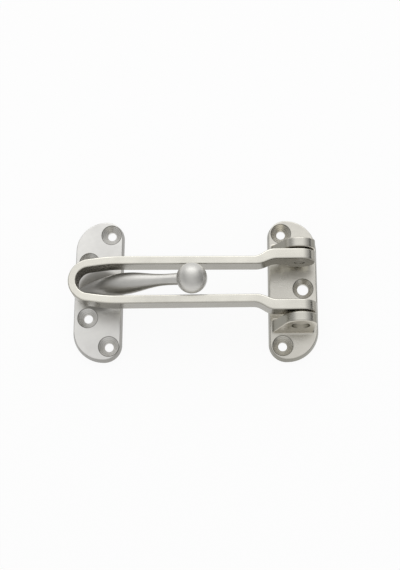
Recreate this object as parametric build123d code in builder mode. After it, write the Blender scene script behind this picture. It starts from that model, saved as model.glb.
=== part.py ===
from build123d import *
from math import cos, radians, sin, tan
import os

# Swing-bar door guard, millimetres. X runs from the catch plate to the hinge plate, Y along the
# hinge pins, Z out of the door. The origin is the hinge plate's middle screw hole, at its back.

# Plates, both cut to one outline
plate_width = 23.5
plate_height = 69.2
plate_thickness = 4.0
plate_draft = 10.0  # degrees, on the edge all round
corner_radius = 8.3  # on the straight sides, which face each other
end_flat = 0.3  # straight part of each end, between the two corners
rim_radius = 0.5

# Countersunk screw holes
screw_diameter = 4.2
middle_screw_diameter = 5.4
screw_head_diameter = 9.7
countersink_angle = 90.0
screw_spacing = 55.0  # outer pair of each plate, along Y
hinge_screw_step = 10.0  # middle screw to the outer pair, along X
hinge_screw_margin = 6.5  # outer pair to the straight side
catch_screw_step = 10.3  # inner pair to the outer pair, along X
catch_screw_margin = 6.0
catch_inner_spacing = 27.3
plate_pitch = 81.8  # outer pair of one plate to the outer pair of the other, along X

# Ball on a curved horn, cast with the catch plate
ball_diameter = 14.2
ball_height = 24.0
ball_reach = 40.0  # outer screws of the catch plate to the ball's centre, along X
horn_length = 56.0  # pointed end on the plate to the ball's centre, along X
horn_tip_height = 2.6
horn_tip_diameter = 1.2
# Each section: setback from the ball's centre, share of the climb to the ball, diameter
horn_foot = (46.2, 0.22, 6.8)
horn_heel = (39.2, 0.41, 9.2)
horn_bulge = (32.2, 0.57, 10.2)
horn_waist = (20.2, 0.79, 7.1)
horn_neck = (10.6, 0.90, 5.3)
horn_end = (5.0, 0.95, 5.6)

# Swing bar
slot_clearance = 0.15  # ball to each leg
leg_width = 3.9
leg_splay = 0.3  # degrees, each leg, wider towards the loop
bar_depth = 10.5
bar_clearance = 8.0  # front of the plates to the back of the bar
bar_edge_radius = 0.6
loop_gap = 3.8  # outer edge of the catch plate to the inside of the loop
loop_radius = 6.2
loop_width = 3.6  # of the bar at the tip of the loop
loop_taper = 7.0  # degrees, each side, where the round tip ends
loop_blend = 19.0  # inside of the loop's tip to where the legs are straight
mouth_width = 19.2  # between the eyes
eye_width = 4.9
eye_setback = 11.0  # pin axis to the end of the flare
flare_length = 10.0
flare_lag = 1.5  # the inner edges flare nearer to the eyes
eye_throat_radius = 2.5  # under the bar, where the eye hangs below it

# Hinge: a lug outside each eye and a headed pin through the two
knuckle_diameter = 15.0  # eyes and lugs alike, their crowns level with the front of the bar
pin_setback = 2.1  # middle screw to the pin axis
pin_diameter = 4.8
pin_chamfer = 0.4
pin_recess = 0.2  # end of the pin below the eye's inner face
pin_head_diameter = 8.2
pin_head_thickness = 0.9
pin_dome = 0.7
running_clearance = 0.05  # pin in eye, on the radius
seat_clearance = 0.02  # pin in lug, on the radius
head_clearance = 0.2  # pin's head in its recess, on the radius
side_clearance = 0.8  # eye to lug
lug_width = 4.6  # at the crown
lug_draft = 4.5  # degrees, outer face
lug_foot_margin = 1.2  # straight side of the plate to the foot of the ramp
lug_back_margin = 3.1  # the opposite side of the plate to the other end of the foot
lug_edge_radius = 0.7
lug_foot_radius = 1.0
lug_root = 1.5  # carried down into the plate

# Places that follow from the sizes
hinge_outer_x = -hinge_screw_step
hinge_straight_x = hinge_outer_x - hinge_screw_margin
hinge_edge_x = hinge_straight_x + plate_width
catch_outer_x = hinge_outer_x - plate_pitch
catch_inner_x = catch_outer_x - catch_screw_step
catch_straight_x = catch_outer_x + catch_screw_margin
catch_edge_x = catch_straight_x - plate_width
ball_x = catch_outer_x + ball_reach
bar_back = plate_thickness + bar_clearance
bar_front = bar_back + bar_depth
knuckle_radius = knuckle_diameter / 2
pin_x = -pin_setback
pin_z = bar_front - knuckle_radius
eye_inner = mouth_width / 2
eye_outer = eye_inner + eye_width
lug_inner = eye_outer + side_clearance
lug_outer = lug_inner + lug_width
pin_radius = pin_diameter / 2
head_seat = lug_outer - pin_head_thickness - pin_dome
head_radius = pin_head_diameter / 2
loop_inner_x = catch_edge_x + loop_gap
loop_outer_x = loop_inner_x - loop_width

os.makedirs("parts", exist_ok=True)


# Plate blank: straight side at X = 0, rounded shoulders towards +X
with BuildPart() as plate_blank:
    with BuildSketch() as outline:
        Rectangle(plate_width, plate_height, align=(Align.MIN, Align.CENTER))
        shoulders = outline.vertices().group_by(Axis.X)[-1]
        fillet(shoulders, radius=plate_width - corner_radius - end_flat)
        corners = outline.vertices().group_by(Axis.X)[0]
        fillet(corners, radius=corner_radius)
    extrude(amount=plate_thickness, taper=plate_draft)
    fillet(plate_blank.faces().sort_by(Axis.Z)[-1].edges(), radius=rim_radius)


# Hinge lug: a barrel around the pin, with a ramp up from the plate's straight side
with BuildPart() as lug:
    with BuildSketch(Plane.XZ.offset(-lug_inner)) as lug_profile:
        with BuildLine():
            CenterArc((pin_x, pin_z), knuckle_radius, 0, 360)
            foot_z = plate_thickness - lug_root
            Line(
                (hinge_straight_x + lug_foot_margin, foot_z),
                (hinge_edge_x - lug_back_margin, foot_z),
            )
        make_hull()
    extrude(amount=-2 * lug_width)
    lean = radians(lug_draft)
    outer_face = Plane(origin=(0, lug_outer, bar_front), z_dir=(0, cos(lean), sin(lean)))
    split(bisect_by=outer_face, keep=Keep.BOTTOM)
    side_faces = lug.faces().sort_by(Axis.Y)
    side_edges = side_faces[0].edges() + side_faces[-1].edges()
    rounded = side_edges.filter_by(lambda edge: edge.center().Z > plate_thickness)
    fillet(rounded, radius=lug_edge_radius)
    with BuildSketch(Plane.XZ.offset(-lug_inner)):
        with Locations((pin_x, pin_z)):
            Circle(pin_radius + seat_clearance)
    extrude(amount=-2 * lug_width, mode=Mode.SUBTRACT)
    with BuildSketch(Plane.XZ.offset(-head_seat)):
        with Locations((pin_x, pin_z)):
            Circle(head_radius + head_clearance)
    extrude(amount=-lug_width, mode=Mode.SUBTRACT)


with BuildPart() as hinge_plate:
    with Locations((hinge_straight_x, 0)):
        add(plate_blank.part)
    add(lug.part)
    mirror(lug.part, about=Plane.XZ)
    top_edges = hinge_plate.edges().filter_by_position(Axis.Z, plate_thickness, plate_thickness)
    lug_feet = top_edges.filter_by(
        lambda edge: lug_inner - 0.1 < abs(edge.center().Y) < lug_outer + lug_width
        and hinge_straight_x + lug_foot_margin < edge.center().X + 0.5
        and edge.center().X < hinge_edge_x - lug_back_margin + 0.5
    )
    fillet(lug_feet, radius=lug_foot_radius)
    with Locations((0, 0, plate_thickness)):
        CounterSinkHole(
            middle_screw_diameter / 2,
            screw_head_diameter / 2,
            counter_sink_angle=countersink_angle,
        )
    with Locations((hinge_outer_x, 0, plate_thickness)):
        with GridLocations(0, screw_spacing, 1, 2):
            CounterSinkHole(
                screw_diameter / 2,
                screw_head_diameter / 2,
                counter_sink_angle=countersink_angle,
            )

hinge_plate.part.label = "hinge_plate"
export_step(hinge_plate.part, "parts/hinge_plate.step")


# Pin: shank with a chamfered end, and a domed head in the lug's recess
with BuildPart() as hinge_pin_upper:
    with BuildSketch(Plane.YZ.offset(pin_x)) as pin_profile:
        with BuildLine():
            shank_end = eye_inner + pin_recess
            rim = head_seat + pin_head_thickness
            Polyline(
                (rim + pin_dome, pin_z),
                (shank_end, pin_z),
                (shank_end, pin_z + pin_radius - pin_chamfer),
                (shank_end + pin_chamfer, pin_z + pin_radius),
                (head_seat, pin_z + pin_radius),
                (head_seat, pin_z + head_radius),
                (rim, pin_z + head_radius),
            )
            dome_radius = (head_radius**2 + pin_dome**2) / (2 * pin_dome)
            RadiusArc((rim, pin_z + head_radius), (rim + pin_dome, pin_z), dome_radius)
        make_face()
    revolve(axis=Axis((pin_x, 0, pin_z), (0, 1, 0)))

with BuildPart() as hinge_pin_lower:
    mirror(hinge_pin_upper.part, about=Plane.XZ)

hinge_pin_upper.part.label = "hinge_pin_upper"
export_step(hinge_pin_upper.part, "parts/hinge_pin_upper.step")
hinge_pin_lower.part.label = "hinge_pin_lower"
export_step(hinge_pin_lower.part, "parts/hinge_pin_lower.step")


# Swing bar: half of its outline, from the tip of the loop to the eye, mirrored
lean = tan(radians(leg_splay))
along_leg = (1, -lean)
slot_half_at_ball = ball_diameter / 2 + slot_clearance
outer_flare_x = pin_x - eye_setback - flare_lag / 2
inner_flare_x = outer_flare_x + flare_lag


def slot_half(x):
    """Half the width of the slot where the legs are straight."""
    return slot_half_at_ball + (ball_x - x) * lean


with BuildPart() as swing_bar:
    with BuildSketch(Plane.XY.offset(pin_z - knuckle_radius)) as bar_outline:
        with BuildLine():
            eye_end_x = pin_x + knuckle_radius
            legs_start_x = loop_inner_x + loop_blend
            inner_leg_end = inner_flare_x - flare_length
            outer_leg_end = outer_flare_x - flare_length
            sweep = loop_taper - 90
            inner_tip = JernArc((loop_inner_x, 0), (0, 1), loop_radius, sweep)
            inner_leg = Line(
                (legs_start_x, slot_half(legs_start_x)),
                (inner_leg_end, slot_half(inner_leg_end)),
            )
            Spline(inner_tip @ 1, inner_leg @ 0, tangents=(inner_tip % 1, along_leg))
            inner_eye = Line((inner_flare_x, eye_inner), (eye_end_x, eye_inner))
            Spline(inner_leg @ 1, inner_eye @ 0, tangents=(along_leg, (1, 0)))
            outer_tip = JernArc((loop_outer_x, 0), (0, 1), loop_radius + leg_width, sweep)
            outer_leg = Line(
                (legs_start_x, slot_half(legs_start_x) + leg_width),
                (outer_leg_end, slot_half(outer_leg_end) + leg_width),
            )
            Spline(outer_tip @ 1, outer_leg @ 0, tangents=(outer_tip % 1, along_leg))
            outer_eye = Line((outer_flare_x, eye_outer), (eye_end_x, eye_outer))
            Spline(outer_leg @ 1, outer_eye @ 0, tangents=(along_leg, (1, 0)))
            Line(inner_eye @ 1, outer_eye @ 1)
            Line(outer_tip @ 0, inner_tip @ 0)
        make_face()
        mirror(about=Plane.XZ)
    extrude(amount=knuckle_diameter)
    with BuildSketch(Plane.XZ) as bar_side:
        with Locations((pin_x, pin_z)):
            Circle(knuckle_radius)
        with Locations((pin_x, bar_back)):
            Rectangle(pin_x - loop_outer_x, bar_depth, align=(Align.MAX, Align.MIN))
        throat = bar_side.vertices().group_by(Axis.Y)[0].sort_by(Axis.X)[-1]
        fillet(throat, radius=eye_throat_radius)
    extrude(amount=eye_outer + bar_depth, both=True, mode=Mode.INTERSECT)
    fillet(
        swing_bar.edges().filter_by(Axis.Z, reverse=True).filter_by(Axis.Y, reverse=True),
        radius=bar_edge_radius,
    )
    with BuildSketch(Plane.XZ):
        with Locations((pin_x, pin_z)):
            Circle(pin_radius + running_clearance)
    extrude(amount=eye_outer + bar_depth, both=True, mode=Mode.SUBTRACT)

swing_bar.part.label = "swing_bar"
export_step(swing_bar.part, "parts/swing_bar.step")


# Horn: round sections square to a curved centre line, from its pointed end on the plate to the ball
def horn_point(setback, climb):
    """Point of the horn's centre line: behind the ball's centre, and part of the way up to it."""
    return (ball_x - setback, horn_tip_height + climb * (ball_height - horn_tip_height))


horn_sections = (
    (horn_length, 0, horn_tip_diameter),
    horn_foot,
    horn_heel,
    horn_bulge,
    horn_waist,
    horn_neck,
    horn_end,
)

with BuildPart() as horn:
    with BuildLine(Plane.XZ) as horn_line:
        centre_line = Spline(
            [horn_point(setback, climb) for setback, climb, diameter in horn_sections]
        )
    for setback, climb, diameter in horn_sections:
        x, z = horn_point(setback, climb)
        with BuildSketch(Plane(origin=(x, 0, z), z_dir=centre_line % Vector(x, 0, z))):
            Circle(diameter / 2)
    loft()


with BuildPart() as catch_plate:
    with Locations((catch_straight_x, 0)):
        add(mirror(plate_blank.part, about=Plane.YZ, mode=Mode.PRIVATE))
    add(horn.part)
    with Locations((ball_x, 0, ball_height)):
        Sphere(ball_diameter / 2)
    with Locations((catch_outer_x, 0, plate_thickness)):
        with GridLocations(0, screw_spacing, 1, 2):
            CounterSinkHole(
                screw_diameter / 2,
                screw_head_diameter / 2,
                counter_sink_angle=countersink_angle,
            )
    with Locations((catch_inner_x, 0, plate_thickness)):
        with GridLocations(0, catch_inner_spacing, 1, 2):
            CounterSinkHole(
                screw_diameter / 2,
                screw_head_diameter / 2,
                counter_sink_angle=countersink_angle,
            )

catch_plate.part.label = "catch_plate"
export_step(catch_plate.part, "parts/catch_plate.step")
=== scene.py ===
from math import radians

import bpy
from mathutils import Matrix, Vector

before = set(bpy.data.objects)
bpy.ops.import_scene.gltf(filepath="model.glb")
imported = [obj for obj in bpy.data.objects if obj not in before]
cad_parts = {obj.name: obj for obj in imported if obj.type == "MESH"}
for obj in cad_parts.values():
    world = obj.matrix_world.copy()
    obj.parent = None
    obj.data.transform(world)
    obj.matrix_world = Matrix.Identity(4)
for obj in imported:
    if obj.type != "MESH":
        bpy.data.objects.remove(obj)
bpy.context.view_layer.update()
MM = 0.001

# Centres of the countersunk holes, in millimetres
HINGE_HOLES = ((0, 0), (-10, 27.5), (-10, -27.5))
CATCH_HOLES = ((-91.8, 27.5), (-91.8, -27.5), (-102.1, 13.65), (-102.1, -13.65))

# Places on the castings
PLATE_TOP = 4.0 * MM
HORN_FOOT = (-97 * MM, 0, 0)
COUNTERSINK_RIM = 4.8 * MM

# Colours and marks that the pieces share
WORN_EDGE = (0.82, 0.81, 0.77)
RIM_BURR_AND_SHADE = (0.16, 0.155, 0.135)
LOOP_SHADE_SHARE = (0.8, 0.8, 0.8)
GRAIN_HEIGHT = 2e-6
RING_RATE = 9000.0  # radians per metre, which puts a turned ring every 0.7 mm
RING_HEIGHT = 2e-5


# Node helpers
class Nodes:
    """Adds nodes to a tree; an input is a number, a tuple or the output of another node."""

    def __init__(self, tree):
        self.tree = tree

    def add(self, kind, *inputs, **properties):
        made = self.tree.nodes.new(kind)
        for key, value in properties.items():
            setattr(made, key, value)
        for socket, value in zip([s for s in made.inputs if s.enabled], inputs):
            self.set(socket, value)
        return made

    def set(self, socket, value):
        if isinstance(value, bpy.types.NodeSocket):
            self.tree.links.new(value, socket)
        else:
            socket.default_value = value

    def math(self, operation, *inputs):
        return self.add("ShaderNodeMath", *inputs, operation=operation).outputs[0]

    def vector(self, operation, *inputs):
        made = self.add("ShaderNodeVectorMath", *inputs, operation=operation)
        return made.outputs[1 if operation in ("DISTANCE", "DOT_PRODUCT") else 0]

    def axis(self, vector, name):
        return self.add("ShaderNodeSeparateXYZ", vector).outputs[name]

    def ramp(self, value, low, high, to_low=0.0, to_high=1.0, kind="SMOOTHSTEP"):
        """Map a value from one range to another, and clamp it there."""
        made = self.add("ShaderNodeMapRange", interpolation_type=kind)
        names = ("Value", "From Min", "From Max", "To Min", "To Max")
        for name, given in zip(names, (value, low, high, to_low, to_high)):
            self.set(made.inputs[name], given)
        return made.outputs[0]

    def noise(self, place, scale, detail, roughness=0.55):
        """Noise between 0 and 1; the scale is in waves per metre along each axis."""
        stretched = self.vector("MULTIPLY", place, scale)
        made = self.add("ShaderNodeTexNoise", stretched)
        made.inputs["Scale"].default_value = 1.0
        made.inputs["Detail"].default_value = detail
        made.inputs["Roughness"].default_value = roughness
        return made.outputs["Fac"]

    def spread(self, noise, low, high):
        """Stretch the middle of a noise over a range."""
        return self.ramp(noise, 0.3, 0.7, low, high, "LINEAR")

    def mix(self, share, first, second, blend="MIX"):
        made = self.add("ShaderNodeMix", data_type="RGBA", blend_type=blend)
        self.set(made.inputs[0], share)
        for socket, value in ((made.inputs[6], first), (made.inputs[7], second)):
            self.set(socket, (*value, 1) if isinstance(value, tuple) else value)
        return made.outputs[2]


# Materials
def hole_distance(n, place, holes):
    """Distance from the axis of the nearest hole."""
    flat = n.vector("MULTIPLY", place, (1, 1, 0))
    nearest = None
    for x, y in holes:
        distance = n.vector("DISTANCE", flat, (x * MM, y * MM, 0))
        nearest = distance if nearest is None else n.math("MINIMUM", nearest, distance)
    return nearest


def edge_wear(n, grain):
    """Share of bright metal along sharp edges, broken up by the grain."""
    bevel = n.add("ShaderNodeBevel", samples=4)
    bevel.inputs["Radius"].default_value = 0.35 * MM
    true_normal = n.add("ShaderNodeNewGeometry").outputs["Normal"]
    worn = n.ramp(n.vector("DOT_PRODUCT", bevel.outputs[0], true_normal), 0.995, 0.9)
    return n.math("MULTIPLY", n.math("MULTIPLY", worn, n.ramp(grain, 0.35, 0.6, 0.3, 1.0)), 0.35)


def nickel(
    name, face, shaded_side, roughness, brush, brush_height, holes=(), casting=None, flanks=None, heads=None
):
    """Satin nickel on cast metal: faces that look up take the face colour, and sideways faces the darker
    side colour, which is painted shade.

    brush is the scale of the brush marks along each axis, and holes are turned countersinks.
    casting is the colour of the horn and ball, which are tumbled, flanks a lighter side colour for
    the lugs' sides, with less painted shade, and heads a lighter colour for a pin's outer end, painted
    light against the shade of its recess.
    """
    material = bpy.data.materials.new(name)
    material.use_nodes = True
    shader = material.node_tree.nodes["Principled BSDF"]
    shader.inputs["Metallic"].default_value = 1.0
    n = Nodes(material.node_tree)

    coordinates = n.add("ShaderNodeTexCoord").outputs
    place, normal = coordinates["Object"], coordinates["Normal"]
    up = n.math("ABSOLUTE", n.axis(normal, "Z"))
    level = n.axis(place, "Z")
    clouds = n.noise(place, (60, 60, 60), 4.0)
    marks = n.noise(place, brush, 4.0, 0.6)
    grain = n.noise(place, (2200, 2200, 2200), 2.0)

    # Faces that look up get the metal's colour and the sides a darker copy of it: painted shade chosen by
    # the normal
    colour = n.mix(n.ramp(up, 0.5, 0.95), shaded_side, face)
    rough = n.math(
        "ADD", n.spread(clouds, roughness - 0.03, roughness + 0.03), n.spread(marks, -0.04, 0.04)
    )
    height = n.math("ADD", n.math("MULTIPLY", marks, brush_height), n.math("MULTIPLY", grain, GRAIN_HEIGHT))

    # The lugs' sideways faces take the lighter flanks colour: less painted shade there than on other sides
    if flanks:
        above = n.ramp(level, PLATE_TOP - 0.05 * MM, PLATE_TOP + 0.1 * MM)
        sideways = n.ramp(n.math("ABSOLUTE", n.axis(normal, "Y")), 0.2, 0.7)
        colour = n.mix(n.math("MULTIPLY", above, sideways), colour, flanks)
    # The pins' outer ends take the lighter heads colour, painted light against the shade of the recess, and
    # the inner ends keep the painted shade of the side colour
    if heads:
        outer = n.ramp(n.math("ABSOLUTE", n.axis(place, "Y")), 12 * MM, 14 * MM)
        colour = n.mix(outer, colour, heads)
    if casting:
        # Painted shade under the loop: the horn's root and the plate round its foot get a darker copy of
        # the side colour
        loop_shade = n.mix(1.0, shaded_side, LOOP_SHADE_SHARE, "MULTIPLY")
        standing = n.ramp(level, PLATE_TOP + 0.2 * MM, PLATE_TOP + 1.0 * MM)
        root = n.ramp(n.axis(place, "X"), -91 * MM, -101 * MM)
        colour = n.mix(standing, colour, n.mix(root, casting, loop_shade))
        from_foot = n.vector("DISTANCE", n.vector("MULTIPLY", place, (1, 1, 0)), HORN_FOOT)
        shaded_foot = n.ramp(from_foot, 12 * MM, 8.5 * MM)
        on_plate = n.math("SUBTRACT", 1.0, standing)
        colour = n.mix(n.math("MULTIPLY", shaded_foot, on_plate), colour, loop_shade)
        rough = n.math("ADD", rough, n.math("MULTIPLY", standing, 0.1))

    tone = n.math("ADD", n.spread(clouds, 0.88, 1.07), n.spread(marks, -0.02, 0.02))
    colour = n.mix(1.0, colour, tone, "MULTIPLY")
    colour = n.mix(edge_wear(n, grain), colour, WORN_EDGE)

    if holes:
        # Turned rings on the cones, with a dark line round each rim, partly a burr and partly painted shade
        nearest = hole_distance(n, place, holes)
        rings = n.math("SINE", n.math("MULTIPLY", nearest, RING_RATE))
        inside = n.ramp(nearest, COUNTERSINK_RIM + 0.15 * MM, COUNTERSINK_RIM)
        turned = n.math("MULTIPLY", inside, n.ramp(up, 0.9, 0.8))
        cut = n.math("MULTIPLY", n.math("MULTIPLY", rings, turned), RING_HEIGHT)
        height = n.math("ADD", height, cut)
        colour = n.mix(turned, colour, n.mix(n.ramp(rings, -1.0, 1.0, 0.7, 1.15), shaded_side, face))
        from_rim = n.math("ABSOLUTE", n.math("SUBTRACT", nearest, COUNTERSINK_RIM))
        colour = n.mix(n.ramp(from_rim, 0.3 * MM, 0.1 * MM, 0.0, 0.7), colour, RIM_BURR_AND_SHADE)

    bump = n.add("ShaderNodeBump")
    bump.inputs["Strength"].default_value = 1.0
    bump.inputs["Distance"].default_value = 1.0
    n.set(bump.inputs["Height"], height)
    n.set(shader.inputs["Base Color"], colour)
    n.set(shader.inputs["Roughness"], rough)
    n.set(shader.inputs["Normal"], bump.outputs[0])
    return material


hinge_nickel = nickel(
    "hinge_nickel",
    face=(0.66, 0.64, 0.585),
    shaded_side=(0.26, 0.25, 0.21),
    roughness=0.30,
    brush=(150, 1500, 1500),
    brush_height=6e-6,
    holes=HINGE_HOLES,
    flanks=(0.60, 0.57, 0.50),
)
catch_nickel = nickel(
    "catch_nickel",
    face=(0.77, 0.76, 0.735),
    shaded_side=(0.33, 0.32, 0.30),
    roughness=0.36,
    brush=(500, 500, 500),
    brush_height=6e-6,
    holes=CATCH_HOLES,
    casting=(0.66, 0.65, 0.62),
)
bar_nickel = nickel(
    "bar_nickel",
    face=(0.77, 0.75, 0.68),
    shaded_side=(0.32, 0.305, 0.265),
    roughness=0.27,
    brush=(90, 2600, 900),
    brush_height=5e-6,
)
pin_nickel = nickel(
    "pin_nickel",
    face=(0.55, 0.53, 0.48),
    shaded_side=(0.30, 0.285, 0.25),
    roughness=0.36,
    brush=(700, 700, 700),
    brush_height=6e-6,
    heads=(0.62, 0.59, 0.52),
)

for name, material in {
    "hinge_plate": hinge_nickel,
    "catch_plate": catch_nickel,
    "swing_bar": bar_nickel,
    "hinge_pin_upper": pin_nickel,
    "hinge_pin_lower": pin_nickel,
}.items():
    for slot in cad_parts[name].material_slots:
        slot.material = material


# Floor: pale paper, which the camera and the metal see near white, with the object's shadow on it
PAPER_GLOW = 0.92  # share of plain white that those rays see

bpy.ops.mesh.primitive_plane_add(size=12.0, location=(-0.05, 0, -0.0001))
floor = bpy.context.object
floor.name = "floor"
paper = bpy.data.materials.new("paper")
paper.use_nodes = True
paper.node_tree.nodes.clear()
floor.data.materials.append(paper)
n = Nodes(paper.node_tree)
rays = n.add("ShaderNodeLightPath").outputs
seen = n.math("MAXIMUM", rays["Is Camera Ray"], rays["Is Glossy Ray"])
seen = n.math("MAXIMUM", seen, rays["Is Transmission Ray"])
matt = n.add("ShaderNodeBsdfDiffuse", (0.9, 0.9, 0.9, 1))
white = n.add("ShaderNodeEmission", (1, 1, 1, 1), 1.0)
glow = n.math("MULTIPLY", seen, PAPER_GLOW)
both = n.add("ShaderNodeMixShader", glow, matt.outputs[0], white.outputs[0])
n.add("ShaderNodeOutputMaterial", both.outputs[0])


# Light: a soft studio sky, brightest overhead and behind, and as pale as the floor at the horizon
FRONT_SKY, BACK_SKY, SIDE_SKY, HORIZON = 0.7, 1.15, 0.4, 0.96

world = bpy.data.worlds.new("studio")
bpy.context.scene.world = world
world.use_nodes = True
background = world.node_tree.nodes["Background"]
n = Nodes(world.node_tree)
sky = n.add("ShaderNodeSeparateXYZ", n.add("ShaderNodeTexCoord").outputs["Generated"]).outputs
across = n.math("SQRT", n.math("ADD", n.math("POWER", sky["Y"], 2.0), n.math("POWER", sky["Z"], 2.0)))
behind = n.math("DIVIDE", sky["Y"], n.math("MAXIMUM", across, 0.001))
middle = n.ramp(behind, -0.15, 0.55, FRONT_SKY, BACK_SKY)
strength = n.ramp(n.math("ABSOLUTE", sky["X"]), 0.35, 0.92, middle, SIDE_SKY)
strength = n.ramp(sky["Z"], 0.08, 0.22, HORIZON, strength)
n.set(background.inputs["Strength"], strength)
background.inputs["Color"].default_value = (1, 1, 1, 1)


def softbox(name, place, target, width, height, power):
    """A rectangular area lamp at a place, turned to a target."""
    lamp = bpy.data.lights.new(name, "AREA")
    lamp.shape = "RECTANGLE"
    lamp.size, lamp.size_y = width, height
    lamp.energy = power
    holder = bpy.data.objects.new(name, lamp)
    bpy.context.collection.objects.link(holder)
    holder.location = place
    aim = Vector(target) - Vector(place)
    holder.rotation_euler = aim.to_track_quat("-Z", "Y").to_euler()


def flag(name, x, top):
    """A black card that only the metal shows, as a dark line along its round ends."""
    middle = (x, 0, top / 2)
    bpy.ops.mesh.primitive_plane_add(size=1.0, location=middle, rotation=(0, radians(90), 0))
    card = bpy.context.object
    card.name = name
    card.scale = (top, 0.9, 1)
    black = bpy.data.materials.new(name)
    black.use_nodes = True
    black.node_tree.nodes["Principled BSDF"].inputs["Base Color"].default_value = (0.02, 0.02, 0.02, 1)
    card.data.materials.append(black)
    card.visible_camera = card.visible_diffuse = card.visible_shadow = False


softbox("key", (-0.05, 0.5, 0.40), (-0.05, 0, 0.01), 0.7, 0.35, 0.65)
flag("flag_right", 0.40, 0.12)


# Camera, fitted to the photograph's screw holes, bar edges and ball
camera_data = bpy.data.cameras.new("camera")
camera_data.sensor_width = 36.0
camera_data.lens = 63.16
camera_data.clip_start = 0.01
camera_data.clip_end = 50.0
camera = bpy.data.objects.new("camera", camera_data)
bpy.context.collection.objects.link(camera)
camera.location = (-29.957 * MM, -124.090 * MM, 462.966 * MM)
camera.rotation_euler = (radians(15.376), radians(2.299), radians(0.207))
bpy.context.scene.camera = camera
bpy.context.scene.view_settings.view_transform = "Standard"
